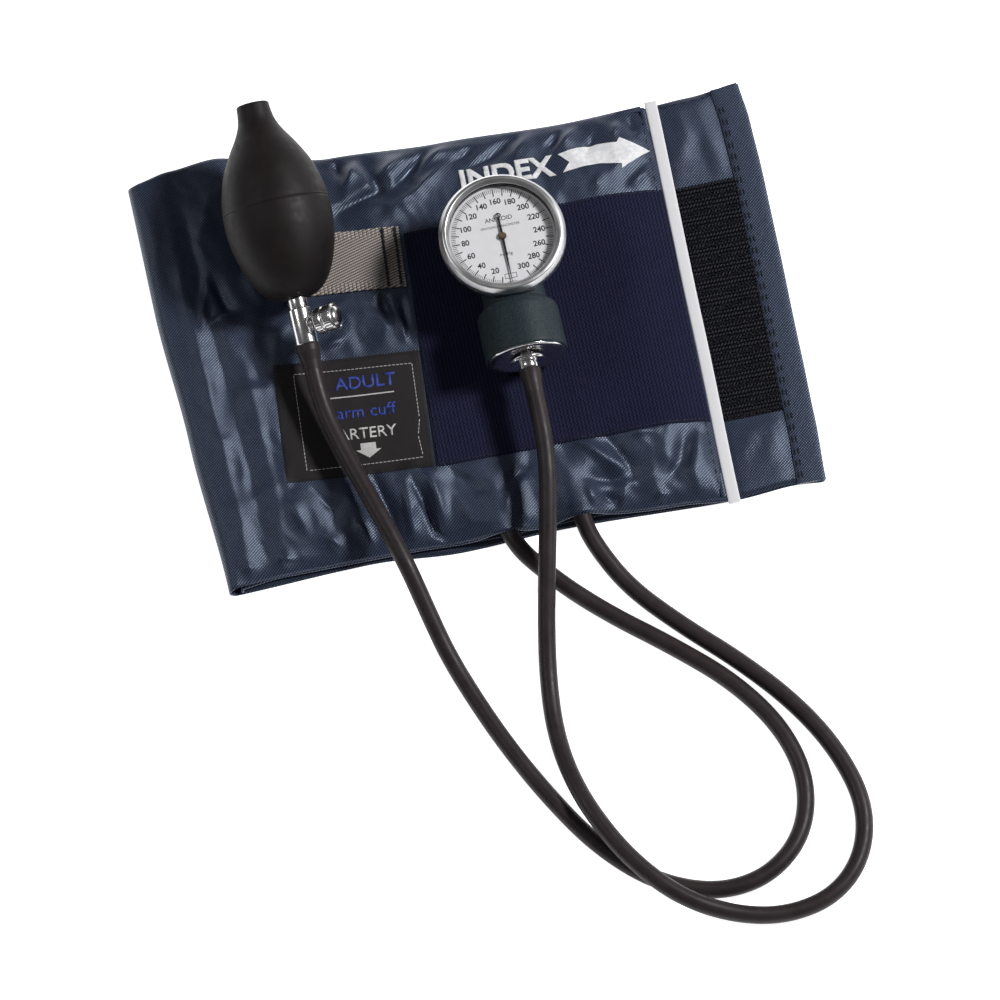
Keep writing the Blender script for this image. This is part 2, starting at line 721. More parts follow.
# Sharp folds of the slack margins: where each one runs (mm), how far it rises or sinks, and its half-width.
CREASES = [
    ([(-54, -57), (-50, -76), (-49, -87)], -1.6, 2.2),
    ([(-43, -64), (-43, -77), (-43, -87)], 1.3, 2.6),
    ([(-39, -63), (-36, -74), (-34, -84), (-30, -89)], -2.2, 1.8),
    ([(-33, -62), (-31, -72), (-31, -83)], 1.6, 2.6),
    ([(-24, -74), (-19, -84), (-12, -86)], 1.1, 4.5),
    ([(-111, -82), (-107, -87)], 1.1, 2.0),
    ([(-97, -82), (-90, -87)], 1.2, 2.2),
    ([(-76, -78), (-72, -85)], 1.4, 2.4),
    ([(-64, -75), (-59, -86)], 1.3, 2.2),
    ([(-36, 15), (-35, 5)], -1.7, 2.2),
    ([(-28, 11), (-28, -5)], -1.4, 1.6),
    ([(-32, 11), (-30, -5)], 1.2, 2.0),
    ([(-61, -2), (-54, 0)], 1.0, 1.8),
    ([(-101, 35), (-107, 17)], 1.3, 2.6),
    ([(-92, 19), (-104, 17)], 1.4, 2.4),
    ([(-99, 35), (-95, 20), (-91, 19)], -1.4, 2.4),
    ([(-108, -84), (-109, -30), (-111, 30), (-111, 80)], 0.9, 4.0),
    ([(-100, -76), (-101, -20), (-103, 30), (-104, 72)], -0.8, 3.4),
    ([(-92, -66), (-93, -30), (-93, -2)], 0.6, 3.4),
    ([(-77, -60), (-72, -68), (-73, -74)], -1.1, 2.6),
    ([(-88, -62), (-84, -74)], 0.9, 3.0),
    ([(-42, 76), (-41, 67)], -1.4, 2.2),
    ([(-34, 73), (-40, 63)], 1.4, 2.4),
    ([(-31, 72), (-27, 59), (-45, 53)], -2.0, 3.0),
    ([(-28, 63), (-16, 71)], 1.6, 2.6),
    ([(-7, 71), (-22, 58)], -1.9, 2.6),
    ([(-1, 64), (-13, 55), (-24, 50)], 1.6, 3.2),
    ([(13, 69), (4, 65)], -1.3, 2.6),
    ([(28, 70), (18, 64), (8, 60)], -1.6, 3.6),
    ([(2, 73), (-9, 65)], 1.3, 3.4),
    ([(34, 70), (27, 62)], 1.3, 3.0),
    ([(46, 68), (40, 62)], -1.3, 2.0),
    ([(53, 69), (44, 61)], 1.2, 2.4),
    ([(60, 65), (55, 57)], -1.0, 2.2),
    ([(70, 69), (67, 63)], 1.0, 2.0),
    ([(75, 69), (75, 62)], -1.2, 2.0),
    ([(58, 46), (55, 41)], 1.0, 1.8),
    ([(80, 48), (69, 40)], 1.1, 2.0),
    ([(-22, -64), (-15, -72), (-7, -74), (6, -66)], -2.2, 3.2),
    ([(20, -62), (25, -75), (38, -78)], -2.2, 3.2),
    ([(26, -59), (35, -68), (41, -74)], 1.3, 2.6),
    ([(39, -61), (45, -73), (46, -78)], -1.6, 2.4),
    ([(47, -61), (57, -62)], 1.0, 2.4),
    ([(69, -64), (65, -75), (58, -82)], -1.7, 4.2),
    ([(75, -64), (69, -80), (70, -91)], 1.0, 3.4),
    ([(27, -79), (29, -88)], 1.4, 2.2),
    ([(32, -82), (37, -87)], -1.2, 2.2),
    ([(42, -81), (38, -90)], 1.2, 2.4),
    ([(54, -85), (56, -91)], 1.1, 2.2),
    ([(-3, -75), (-6, -82)], 1.2, 2.0),
]
LOW_CREASES = [
    ([(93, 68), (95, 56), (89, 51)], 1.4, 3.2),
    ([(92, 60), (99, 50), (103, 40)], -0.8, 2.6),
    ([(102, 65), (106, 51), (106, 41)], 1.1, 2.6),
    ([(89, -66), (95, -69), (87, -77)], 1.2, 3.2),
    ([(104, -67), (99, -79)], 0.9, 2.6),
]


def crease_height(creases, x, y):
    """The sum of the folds at a point: steep on one flank, softer on the other, fading at both ends."""
    total = 0.0
    for line, height, width in creases:
        reach = 3 * width
        spans = zip(zip(*line), (x, y))
        if any(not min(span) - reach < at < max(span) + reach for span, at in spans):
            continue
        nearest, side, place, run = reach, 1, 0.5, 0.0
        whole = sum(math.dist(a, b) for a, b in zip(line, line[1:]))
        for (x0, y0), (x1, y1) in zip(line, line[1:]):
            length = math.dist((x0, y0), (x1, y1))
            share = ((x - x0) * (x1 - x0) + (y - y0) * (y1 - y0)) / length**2
            share = min(max(share, 0.0), 1.0)
            away = math.dist((x, y), (x0 + share * (x1 - x0), y0 + share * (y1 - y0)))
            if away < nearest:
                nearest = away
                side = (x - x0) * (y1 - y0) - (y - y0) * (x1 - x0)
                place = (run + share * length) / whole
            run += length
        spread = width * (0.6 if side > 0 else 1.15)
        total += height * math.exp(-((nearest / spread) ** 1.5)) * (0.35 + 0.65 * math.sin(math.pi * place))
    return total


def crumple(x, y):
    """Small sharp-edged unevenness all over slack nylon."""
    bent = Vector((x + 4 * noise.noise(Vector((x / 18, y / 18, 5.0))),
                   y + 5 * noise.noise(Vector((y / 16, x / 21, 8.0))), 0))
    large = 1 - 2.4 * abs(noise.noise(Vector((bent.x / 15 + bent.y / 34, bent.y / 20 - bent.x / 50, 0.4))))
    small = 1 - 2.4 * abs(noise.noise(Vector((bent.x / 6.5, bent.y / 8 + bent.x / 20, 2.4))))
    return 0.75 * large + 0.28 * small


def slackness(x, y):
    """1 where the top layer is free to wrinkle, 0 where an edge, tape or label holds it."""
    free = min(1.0, max(0.0, (room_inside(x, y) - 0.5) / 4))
    free *= min(1.0, max(0.0, (x + 117) / 9))
    free *= 1 - port_swell(x, y, 0.9)
    for left, right, front, back in HELD_FLAT:
        away = max(left - x, x - right, front - y, y - back)
        free *= min(1.0, max(0.0, (away + 2.0) / 3.5))
    return free


def simulate_cloth(item, firm, cap, frames=24):
    """Lets the slack cloth buckle between the places that hold it, and keeps the buckled shape.

    firm is a weight from 0 to 1 for each point; no point ends further than cap (mm) from where it was.
    """
    scene = bpy.context.scene
    rest = [v.co.copy() for v in item.data.vertices]
    for group, weights in (("firm", firm), ("slack", [1 - hold for hold in firm])):
        made = item.vertex_groups.new(name=group)
        for index, weight in enumerate(weights):
            made.add([index], weight, "REPLACE")
    modifier = item.modifiers.new("cloth", "CLOTH")
    settings = modifier.settings
    settings.quality = 5
    settings.mass = 0.12
    settings.tension_stiffness = settings.compression_stiffness = 18
    settings.shear_stiffness = 6
    settings.bending_stiffness = 0.12
    settings.air_damping = 3
    settings.vertex_group_mass = "firm"
    settings.shrink_min = 0.0
    settings.shrink_max = -0.07
    settings.vertex_group_shrink = "slack"
    settings.effector_weights.gravity = 0
    modifier.collision_settings.use_collision = False
    modifier.point_cache.frame_end = frames
    for number in range(1, frames + 1):
        scene.frame_set(number)
    evaluated = item.evaluated_get(bpy.context.evaluated_depsgraph_get())
    moved = [v.co.copy() for v in evaluated.data.vertices]
    item.modifiers.remove(modifier)
    item.vertex_groups.clear()
    scene.frame_set(1)
    for vertex, before, after in zip(item.data.vertices, rest, moved):
        shift = after - before
        if shift.length > cap * MM:
            shift = shift.normalized() * cap * MM
        vertex.co = before + shift
    item.data.update()


def grid_faces(rows, columns):
    faces = []
    for row in range(rows - 1):
        for column in range(columns - 1):
            first = row * columns + column
            faces.append((first, first + columns, first + columns + 1, first + 1))
    return faces


def give_thickness(item, side):
    """Thickens a single sheet by one ply, upwards (1) or downwards (-1) at the end where it starts."""
    thick = item.modifiers.new("ply", "SOLIDIFY")
    thick.thickness = PLY * MM
    thick.offset = side if item.data.polygons[0].normal.z > 0 else -side


def build_cloth():
    """The outer ply: one sheet along the table, round the fold and back on top of the bladder."""
    points, firm = [], []
    for row in range(CUFF_ROWS + 1):
        for step, p in enumerate(cuff_row(row / CUFF_ROWS)):
            hold = held(p.x, p.y, step)
            if hold < 1:
                p.z += 0.9 * (1 - hold) * noise.noise(Vector((p.x / 11 + p.y / 30, p.y / 24 - p.x / 40, 3.7)))
            points.append(p * MM)
            firm.append(hold)
    mesh = mesh_of("cuff_cloth", points, grid_faces(CUFF_ROWS + 1, LOW_STEPS + FOLD_STEPS + TOP_STEPS + 1))
    cloth = piece("cuff_cloth", mesh, "nylon", replaces=["cuff_outer_cloth"])
    simulate_cloth(cloth, firm, BUCKLE_LIMIT)
    fine = settled(cloth.data, ("SUBSURF", {"levels": 1}))
    # Only the top layer, clear of the fold at the left, gets folds.
    low_layer_reach, fold_reach = 2.5, -118
    for vertex in fine.vertices:
        x, y, z = vertex.co / MM
        if z > low_layer_reach and x > fold_reach:
            free = slackness(x, y)
            if free > 0:
                vertex.co.z += free * (CREASE_FACTOR * crease_height(CREASES, x, y) + crumple(x, y)) * MM
    fine.materials.clear()
    fine.materials.append(MATERIALS["nylon"])
    cloth.data = fine
    surface = BVHTree.FromObject(cloth, bpy.context.evaluated_depsgraph_get())
    give_thickness(cloth, 1)
    return surface


def swept(name, path, section, finish, node=None):
    """A band whose section, (sideways, up) in millimetres, follows a path; its two ends are capped."""
    points = []
    count = len(section)
    for index, here in enumerate(path):
        ahead = path[min(index + 1, len(path) - 1)] - path[max(index - 1, 0)]
        side = ahead.cross(Vector((0, 0, 1))).normalized()
        up = side.cross(ahead).normalized()
        points += [(here + side * a + up * b) * MM for a, b in section]
    faces = []
    for ring in range(len(path) - 1):
        for corner in range(count):
            after = (corner + 1) % count
            first = ring * count
            faces.append((first + corner, first + after, first + count + after, first + count + corner))
    faces.append(tuple(reversed(range(count))))
    faces.append(tuple(range(len(points) - count, len(points))))
    return piece(name, upright(mesh_of(name, points, faces)), finish, replaces=[node] if node else ())


def upright(mesh):
    """Turns the faces of a closed mesh outwards and keeps its sharp edges sharp."""
    work = bmesh.new()
    work.from_mesh(mesh)
    bmesh.ops.recalc_face_normals(work, faces=work.faces)
    work.to_mesh(mesh)
    work.free()
    mesh.set_sharp_from_angle(angle=math.radians(40))
    return mesh


def oval(width, height, corners=14, power=1.0):
    """A rounded section, (sideways, up); a power below 1 makes it squarer."""
    section = []
    for step in range(corners):
        angle = 2 * math.pi * step / corners
        reaches = ((width / 2, math.cos(angle)), (height / 2, math.sin(angle)))
        section.append([reach * math.copysign(abs(way) ** power, way) for reach, way in reaches])
    return section


def top_of(surface, otherwise):
    """A function giving the height (mm) at which something dropped at (x, y) meets a surface."""
    def height(x, y):
        hit = surface.ray_cast(mm(x, y, 60), Vector((0, 0, -1)))[0]
        return hit.z / MM if hit else otherwise

    return height


def build_patch(name, corners, height, thickness, finish, step=1.5, relief=None, replaces=()):
    """A tape or label between four corners (front left, front right, back right, back left).

    height(x, y) is what it lies on; relief(x, y, edge) is added to its upper face.
    """
    a, b, c, d = [Vector(corner) for corner in corners]
    columns = max(2, round((b - a).length / step))
    rows = max(2, round((d - a).length / step))
    points = []
    for row in range(rows + 1):
        for column in range(columns + 1):
            u, v = column / columns, row / rows
            place = (a * (1 - u) + b * u) * (1 - v) + (d * (1 - u) + c * u) * v
            edge = min(min(u, 1 - u) * (b - a).length, min(v, 1 - v) * (d - a).length)
            rounding = 0.35 * thickness * max(0.0, 1 - edge / (1.2 * thickness))
            top = height(place.x, place.y) + thickness - rounding
            if relief:
                top += relief(place.x, place.y, edge)
            points.append(mm(place.x, place.y, top))
    count = len(points)
    width = columns + 1
    points += [p - mm(0, 0, thickness * 0.85) for p in points]
    faces = grid_faces(rows + 1, width)
    faces += [tuple(reversed([i + count for i in face])) for face in faces]
    rim = ([(i, i + 1) for i in range(columns)]
           + [(columns + r * width, columns + (r + 1) * width) for r in range(rows)]
           + [(rows * width + i + 1, rows * width + i) for i in reversed(range(columns))]
           + [((r + 1) * width, r * width) for r in reversed(range(rows))])
    faces += [(p, q, q + count, p + count) for p, q in rim]
    return piece(name, upright(mesh_of(name, points, faces)), finish, replaces=replaces)


def stitches(name, lines, height, finish="dark_thread", length=2.2, gap=0.9, thread=0.32):
    """Sewn lines: short rounded threads laid along each line of (x, y), half sunk into what they hold."""
    points, faces = [], []
    for line in lines:
        for start, end in zip(line, line[1:]):
            leg = Vector(end) - Vector(start)
            way = leg.normalized()
            for number in range(int(leg.length // (length + gap))):
                near = Vector(start) + way * (number * (length + gap) + gap / 2)
                ends = [Vector((*place, height(*place) + 0.02)) for place in (near, near + way * length)]
                add_thread(points, faces, *ends, thread)
    return piece(name, upright(mesh_of(name, [p * MM for p in points], faces)), finish)


def add_thread(points, faces, start, end, thread, sides=6):
    """Adds one thread, thicker in the middle, to lists of points and faces."""
    run = end - start
    side = run.cross(Vector((0, 0, 1))).normalized()
    up = side.cross(run).normalized()
    first = len(points)
    stations = ((0.0, 0.35), (0.2, 0.9), (0.5, 1.0), (0.8, 0.9), (1.0, 0.35))
    for share, wide in stations:
        for corner in range(sides):
            turn = 2 * math.pi * corner / sides
            spread = side * math.cos(turn) + up * math.sin(turn)
            points.append(start + run * share + spread * thread / 2 * wide)
    for ring in range(len(stations) - 1):
        for corner in range(sides):
            after = (corner + 1) % sides
            low = first + ring * sides
            faces.append((low + corner, low + after, low + sides + after, low + sides + corner))
    faces.append(tuple(first + i for i in reversed(range(sides))))
    faces.append(tuple(first + (len(stations) - 1) * sides + i for i in range(sides)))


def flat_text(words, size, weight=0.0):
    """A flat mesh of letters, centred on the origin, in millimetres."""
    font = bpy.data.curves.new("letters", "FONT")
    font.body = words
    font.size = size
    font.offset = weight
    font.align_x = font.align_y = "CENTER"
    font.resolution_u = 4
    return settled(font)


def flat_shape(outline):
    return mesh_of("shape", [Vector((x, y, 0)) for x, y in outline], [range(len(outline))], smooth=False)


def lay_print(name, prints, height, finish, thickness, cell=0):
    """Flat shapes in ink or thread laid on a surface.

    prints holds (mesh in mm, (x, y), turn); height(x, y) is the surface's height.  The shapes are cut into
    cells of that size (mm) where the surface isn't flat.
    """
    work = bmesh.new()
    for mesh, (x, y), turn in prints:
        part = bmesh.new()
        part.from_mesh(mesh)
        part.transform(Matrix.Translation((x, y, 0)) @ Matrix.Rotation(turn, 4, "Z"))
        part.to_mesh(mesh)
        part.free()
        work.from_mesh(mesh)
    bmesh.ops.remove_doubles(work, verts=work.verts, dist=1e-4)
    if cell:
        for axis in (0, 1):
            low = min(v.co[axis] for v in work.verts)
            high = max(v.co[axis] for v in work.verts)
            normal = Vector((axis == 0, axis == 1, 0))
            for number in range(1, int((high - low) / cell) + 1):
                bmesh.ops.bisect_plane(work, geom=work.verts[:] + work.edges[:] + work.faces[:],
                                       plane_co=normal * (low + number * cell), plane_no=normal)
    top = bmesh.ops.extrude_face_region(work, geom=work.faces[:])["geom"]
    raised = {v for v in top if isinstance(v, bmesh.types.BMVert)}
    for v in work.verts:
        v.co.z = height(v.co.x, v.co.y) + (thickness if v in raised else -0.05)
    for v in work.verts:
        v.co *= MM
    mesh = bpy.data.meshes.new(name)
    bmesh.ops.recalc_face_normals(work, faces=work.faces)
    work.to_mesh(mesh)
    work.free()
    return piece(name, mesh, finish)


# ---------------------------------------------------------------- cuff: lining, hems and tapes


def lining_height(x, y):
    """The upper face of the layer on the table, with folds beside the hook tape."""
    free = rise(x - 84, 5) * rise(108.5 - x, 5) * rise(max(-y - 61, y - 39), 5)
    free *= rise(along(LOW_BACK, x) - y, 5) * rise(y - along(LOW_FRONT, x), 5)
    folds = crease_height(LOW_CREASES, x, y) + 0.6 * crumple(x, y)
    return LOW_LAYER_TOP + 0.5 * free + free * max(-0.3, folds)


def build_lining():
    """The inner ply: over the layer on the table, round inside the fold and back below the bladder."""
    def across(front_line, back_line, x, share):
        front, back = along(front_line, x) + 0.3, along(back_line, x) - 0.3
        return front + (back - front) * share

    points = []
    rows, low_steps, turn_steps, top_steps, turn_radius = 70, 90, 6, 70, 0.6
    for row in range(rows + 1):
        share = row / rows
        middle = FRONT + DEPTH * share
        left, right = along(LEFT, middle) + 6.2, along(LOW_RIGHT, middle) - 0.4
        for step in range(low_steps + 1):
            x = right + (left - right) * step / low_steps
            y = across(LOW_FRONT, LOW_BACK, x, share)
            points.append(mm(x, y, lining_height(x, y)))
        for step in range(1, turn_steps):
            turn = math.pi * step / turn_steps
            points.append(mm(left - turn_radius * math.sin(turn), across(LOW_FRONT, LOW_BACK, left, share),
                             LOW_LAYER_TOP + turn_radius * (1 - math.cos(turn))))
        for step in range(top_steps + 1):
            x = left + (along(TOP_RIGHT, middle) - 0.5 - left) * step / top_steps
            points.append(mm(x, across(TOP_FRONT, TOP_BACK, x, share), LOW_LAYER_TOP + 2 * turn_radius))
    mesh = mesh_of("cuff_lining_cloth", points, grid_faces(rows + 1, low_steps + turn_steps + top_steps + 1))
    lining = piece("cuff_lining_cloth", mesh, "nylon", replaces=["cuff_lining"])
    give_thickness(lining, -1)


def build_hems():
    """The rolled hems, the white index strip on the top layer's end and the band on the low layer's end."""
    roll = oval(2.6, 1.7)
    left, right, steps = -113, 80.5, 120
    for side, line, edge_height, inset in (("front", TOP_FRONT, front_edge_height, 0.9),
                                           ("back", TOP_BACK, back_edge_height, -0.9)):
        places = [left + (right - left) * step / steps for step in range(steps + 1)]
        path = [Vector((x, along(line, x) + inset, edge_height(x) - 1.1)) for x in places]
        swept(f"{side}_hem_roll", path, roll, "nylon", f"cuff_{side}_hem")
    end = [Vector((along(TOP_RIGHT, y) - 1.2, y, 3.8)) for y in range(-92, 74, 2)]
    swept("end_hem_roll", end, roll, "nylon", "cuff_end_hem")

    places = [-95.2 + 170.2 * step / 90 for step in range(91)]
    strip = [Vector((along(TOP_RIGHT, y) + 2.4, y, 3.95 + 0.12 * math.sin(y / 9))) for y in places]
    swept("index_edge_tape", strip, oval(4.8, 1.5, 20, 0.45), "index", "index_strip")
    places = [FRONT + DEPTH * step / 84 for step in range(85)]
    band = [Vector((along(LOW_RIGHT, y) - 5.5, y, 1.7)) for y in places]
    swept("right_hem_band", band, oval(11.4, 1.1, 24, 0.5), "nylon")


def loop_relief(x, y, edge):
    """Low uneven rows of pile, combed along Y."""
    row = math.sin(2 * math.pi * (x + 0.05 * y) / 3.1)
    tuft = noise.noise(Vector((x / 1.3, y / 3.5, 0.2)))
    return (0.03 * row + 0.16 * tuft) * min(1.0, edge / 2.5)


def build_tapes(on_cloth):
    """The loop tape on the top layer and the hook tape on the low one."""
    corners = [(-28.4, -59.5), (80.2, -60.6), (81.6, 37.6), (-21.6, 38.2)]
    loop = build_patch("loop_tape", corners, on_cloth, TAPE, "loop", 1.3, loop_relief,
                       ["loop_panel"])
    corners = [(62, -61), (109.6, -60.4), (111.6, 38.4), (63, 38)]
    hook = build_patch("hook_tape", corners, lambda x, y: LOW_LAYER_TOP, HOOK_TAPE, "hook", 2.0,
                       replaces=["hook_panel"])
    build_hooks()


def build_hooks():
    """The hooks themselves: short bent pegs in staggered rows."""
    random.seed(7)
    rows, columns, row_gap, column_gap, thread = 66, 19, 1.48, 1.42, 0.4
    points, faces = [], []
    for row in range(rows):
        y = -59.6 + row * row_gap
        for column in range(columns):
            x = 84.5 + column * column_gap + (column_gap / 2 if row % 2 else 0)
            if x > 109.0 + (y + 60) * 0.02:
                continue
            lean = Vector((random.uniform(0.5, 0.9), random.uniform(-0.5, 0.5), 0))
            foot = Vector((x, y, LOW_LAYER_TOP + HOOK_TAPE - 0.1))
            middle = foot + Vector((0, 0, 0.75)) + lean * 0.3
            tip = foot + Vector((0, 0, 0.45)) + lean * 1.1
            add_thread(points, faces, foot, middle, thread)
            add_thread(points, faces, middle, tip, thread)
    piece("hook_pegs", upright(mesh_of("hook_pegs", [p * MM for p in points], faces)), "hook")


STRAP_TURN = math.radians(-5.5)
STRAP_END = (-24.3, 29.0)
STRAP_SIZE = (52.5, 25.1)
STRAP_THICKNESS = 1.2
SELVEDGE = 3.4
SELVEDGE_RIB = 1.6


def in_plan(middle, turn, x, y):
    """The place in the cuff's plan of a point measured from middle on a piece that is laid turned."""
    placed = Matrix.Rotation(turn, 2) @ Vector((x, y))
    return placed.x + middle[0], placed.y + middle[1]


def on_strap_plan(along_strap, across):
    """A place on the webbing, measured from the middle of its right end, in the cuff's plan."""
    return in_plan(STRAP_END, STRAP_TURN, along_strap, across)


def webbing_relief(x, y, edge):
    """Slanting cords across the middle and short ribs along both selvedges."""
    place = Matrix.Rotation(-STRAP_TURN, 2) @ Vector((x - STRAP_END[0], y - STRAP_END[1]))
    if abs(place.y) > STRAP_SIZE[1] / 2 - SELVEDGE:
        return 0.32 * abs(math.sin(math.pi * place.x / SELVEDGE_RIB))
    over_cords = x * math.cos(WEBBING_SLANT) - y * math.sin(WEBBING_SLANT)
    return 0.26 * abs(math.sin(math.pi * over_cords / WEBBING_CORD))


def build_strap(on_cloth):
    """The webbing that the gauge hangs on, sewn across twice at each end."""
    length, width = STRAP_SIZE
    ends = ((-length, -width / 2), (0.5, -width / 2), (0, width / 2), (-length, width / 2))
    corners = [on_strap_plan(*end) for end in ends]
    strap = build_patch("gauge_webbing", corners, on_cloth, STRAP_THICKNESS, "webbing", 0.24,
                        webbing_relief, ["gauge_strap"])

    def on_strap(x, y):
        return on_cloth(x, y) + STRAP_THICKNESS + 0.55

    lines = [[on_strap_plan(-place, 0.3 - width / 2), on_strap_plan(-place, width / 2 - 0.3)]
             for place in (length - 1.5, length - 6.4, 6.4, 1.5)]
    stitches("strap_stitches", lines, on_strap, thread=1.1, length=2.2, gap=0.02)


LABEL_TURN = math.radians(-5)
LABEL_CENTRE = (-56.3, -32.3)
LABEL_HALF = (28.8, 24.4)
LABEL_CORNERS = [(x * LABEL_HALF[0], y * LABEL_HALF[1]) for x, y in ((-1, -1), (1, -1), (1, 1), (-1, 1))]


def on_label_plan(x, y):
    """A place on the label, measured from its centre, in the cuff's plan."""
    return in_plan(LABEL_CENTRE, LABEL_TURN, x, y)


def build_label(on_cloth):
    """The woven label: its zigzag edge, its sewn frame and its generic words."""
    thick = 0.5
    corners = [on_label_plan(*corner) for corner in LABEL_CORNERS]
    label = build_patch("artery_tag", corners, on_cloth, thick, "label", 1.2,
                        lambda x, y, edge: 0.05 * noise.noise(Vector((x / 6, y / 4, 9.0))), ["artery_label"])

    def on_label(x, y):
        return on_cloth(x, y) + thick

    left, right, front, back = -21.2, 25.2, -20.0, 19.8
    loop = [(left, back), (right, back - 0.6), (right + 0.3, front + 16), (right - 1, front + 9),
            (right, front), (left + 0.6, front - 0.4), (left, back)]
    stitches("label_frame", [[on_label_plan(*p) for p in loop]], on_label, "white_thread", 1.3, 0.3, 0.34)
    edge = []
    for (x0, y0), (x1, y1) in zip(LABEL_CORNERS, LABEL_CORNERS[1:] + LABEL_CORNERS[:1]):
        steps = round(math.hypot(x1 - x0, y1 - y0) / 0.9)
        for step in range(steps):
            share = step / steps
            inward = 0.985 if step % 2 else 0.945
            edge.append(on_label_plan((x0 + (x1 - x0) * share) * inward, (y0 + (y1 - y0) * share) * inward))
    stitches("label_edge_zigzag", [edge], on_label, length=0.8, gap=0.05, thread=0.3)

    rule = flat_shape([(-14, -0.25), (14, -0.25), (14, 0.25), (-14, 0.25)])
    arrow = flat_shape([(-3.0, 3.0), (3.0, 3.0), (3.0, 0.2), (5.0, 0.2), (0, -3.2), (-5.0, 0.2), (-3.0, 0.2)])
    white = [(flat_text("ARTERY", 6.4, 0.05), (4.6, -7.4)), (rule, (3.0, 8.4))]
    blue = [(flat_text("ADULT", 7.4, 0.12), (6.2, 13.6)), (flat_text("arm cuff", 7.0, 0.06), (5.0, 1.6))]
    for name, shapes, finish in (("label_words_white", white, "white_thread"),
                                 ("label_words_blue", blue, "blue_thread"),
                                 ("label_arrow", [(arrow, (4.4, -14.4))], "white_thread")):
        prints = [(mesh, on_label_plan(*place), LABEL_TURN) for mesh, place in shapes]
        lay_print(name, prints, on_label, finish, 0.09, 3.0)


def build_bladder(on_cloth):
    """The flat rubber bag inside the top layer, which follows the cloth over it."""
    corners = [(-66, -76), (52, -76), (52, 62), (-66, 62)]
    build_patch("bladder_bag", corners, lambda x, y: max(4.0, min(on_cloth(x, y), CROWN) - 4.6), 2.2,
                "bladder_rubber", 3.0, replaces=["bladder"])


def build_index_print(on_cloth):
    """The word INDEX and the bent arrow after it."""
    arrow = [(44.2, 58.6), (52, 60.0), (60, 60.4), (67.9, 59.3), (69.4, 61.2), (80.2, 54.2), (67.7, 48.0),
             (68.1, 49.8), (60, 51.4), (52, 51.2), (44.6, 50.2), (48.0, 54.2)]
    word = (flat_text("INDEX", 12.4, 0.42), (22.6, 54.6), math.radians(-2.0))
    prints = [word, (flat_shape(arrow), (0, 0), 0.0)]
    lay_print("index_print", prints, on_cloth, "print_white", 0.4, 1.0)


def build_seams(on_top):
    """The sewn lines: inside the hems, round both tapes and along the low layer's edges."""
    hems = [[(x, along(line, x) + inset) for x in range(-112, 80, 3)]
            for line, inset in ((TOP_FRONT, 3.0), (TOP_BACK, -3.0))]
    hems.append([(along(TOP_RIGHT, y) - 2.4, y) for y in range(-91, 73, 4)])
    stitches("hem_stitches", hems, lambda x, y: on_top(x, y) + 0.1, thread=0.4)
    loop = [(-27.6, -58.7), (79.2, -59.8), (80.6, 36.8), (-20.8, 37.4), (-27.6, -58.7)]
    stitches("loop_tape_stitches", [loop], lambda x, y: on_top(x, y) + TAPE)
    band = [[(along(LOW_RIGHT, y) - inset, y) for y in range(-90, 75, 5)] for inset in (8.6, 10.0)]
    stitches("right_band_stitches", band, lambda x, y: 2.5, length=2.6, gap=0.5, thread=0.5)
    low = [[(x, along(line, x) + inset) for x in range(start, 120, 4)]
           for line, inset, start in ((LOW_FRONT, 2.0, 86), (LOW_BACK, -2.0, 88))]
    stitches("right_end_stitches", low, lambda x, y: max(lining_height(x, y), 1.95))
    hook = [(86, -60.2), (108.9, -59.7), (110.9, 37.7), (86, 37.3)]
    stitches("hook_tape_stitches", [hook], lambda x, y: LOW_LAYER_TOP + HOOK_TAPE + 0.05)


# ---------------------------------------------------------------- bulb and release valve

BULB_PLACE = (Matrix.Translation(mm(-69.9, 47.8, 34.7)) @ Matrix.Rotation(math.radians(1.3), 4, "Z")
              @ Matrix.Rotation(math.radians(11 - 90), 4, "X"))
THREAD_PITCH = 0.5
# Heights along the bulb's axis: its foot, the shoulder of the valve, and the ends of its barrel and barb.
BULB_FOOT, SHOULDER, BARREL_END, BARB_END = -34.0, -38.6, -53.1, -62.1
KNOB_PLACE = (BULB_PLACE @ Matrix.Translation(mm(0, 0, -45.6)) @ Matrix.Rotation(math.radians(-33), 4, "Z")
              @ Matrix.Rotation(math.radians(90), 4, "Y"))


def build_bulb():
    """The moulded rubber bulb, with its parting seam and a soft concave neck."""
    radius, seam, groove = 21.25, 2.5, 0.16
    shape = smooth_profile([
        (6.4, BULB_FOOT), (10.6, -32.0), (14.9, -27.0), (18.4, -19.0), (20.7, -9.5), (radius, -1.5),
        (20.75, 6.5), (17.9, 17.5), (13.6, 26.0), (9.7, 32.2), (7.6, 36.6), (6.75, 40.6), (6.45, 43.9),
    ], 10)
    below = [p for p in shape if p[1] < seam - 0.5]
    above = [p for p in shape if p[1] > seam + 0.5]
    lips = [(radius - 0.02, seam - 0.3), (radius - groove, seam - 0.08), (radius - groove, seam + 0.08),
            (radius + 0.05, seam + 0.26)]
    foot = [(3.1, BULB_FOOT), (4.9, BULB_FOOT - 0.1)]
    mouth = [(6.0, 44.4), (4.6, 44.5), (4.05, 44.1), (4.05, 36.0), (3.1, 30.0)]
    turned("bulb_rubber_shell", foot + below + lips + above + mouth, BULB_PLACE, 160, "bulb_rubber",
           "black_rubber", "bulb", closed=True)


